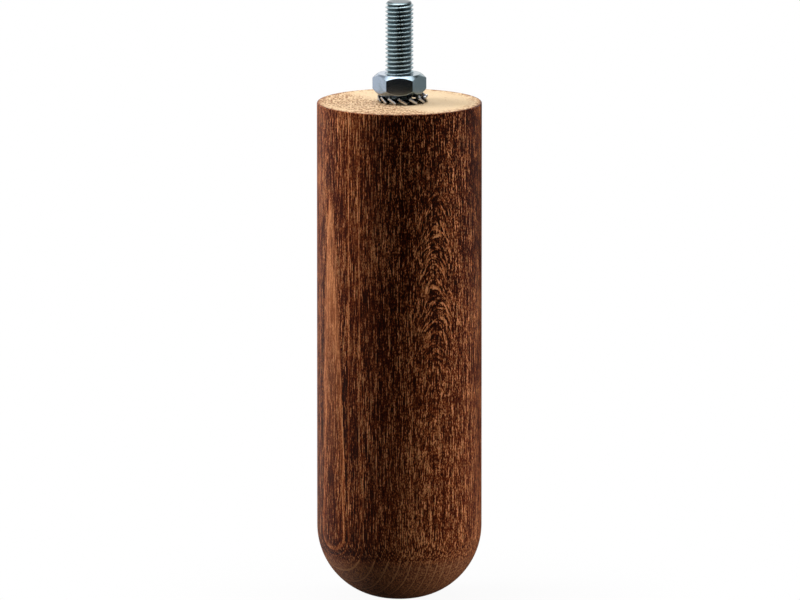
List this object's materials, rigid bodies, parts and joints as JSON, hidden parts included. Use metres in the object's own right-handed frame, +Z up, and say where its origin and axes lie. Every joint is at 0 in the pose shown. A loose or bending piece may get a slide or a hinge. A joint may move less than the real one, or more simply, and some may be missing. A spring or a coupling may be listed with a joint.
{
  "type": "wooden furniture leg",
  "caption": "Round dark-stained wooden furniture leg with a domed foot, fixed by a threaded stud with a hexagon nut and a toothed lock washer.",
  "frame": {"origin": "centre of the small flat at the bottom of the domed foot, on the floor", "axes": "+Z up along the leg and its stud, -Y towards the front flat of the nut, +X to the right"},
  "size_m": [0.059, 0.059, 0.2165],
  "materials": {
    "stained_wood": "satin",
    "zinc_bolt": "satin",
    "zinc_washer": "satin",
    "zinc_nut": "satin"
  },
  "bodies": {
    "root": {"leg_body": "stained_wood", "hanger_bolt": "zinc_bolt", "lock_washer": "zinc_washer", "hex_nut": "zinc_nut"}
  },
  "joints": []
}
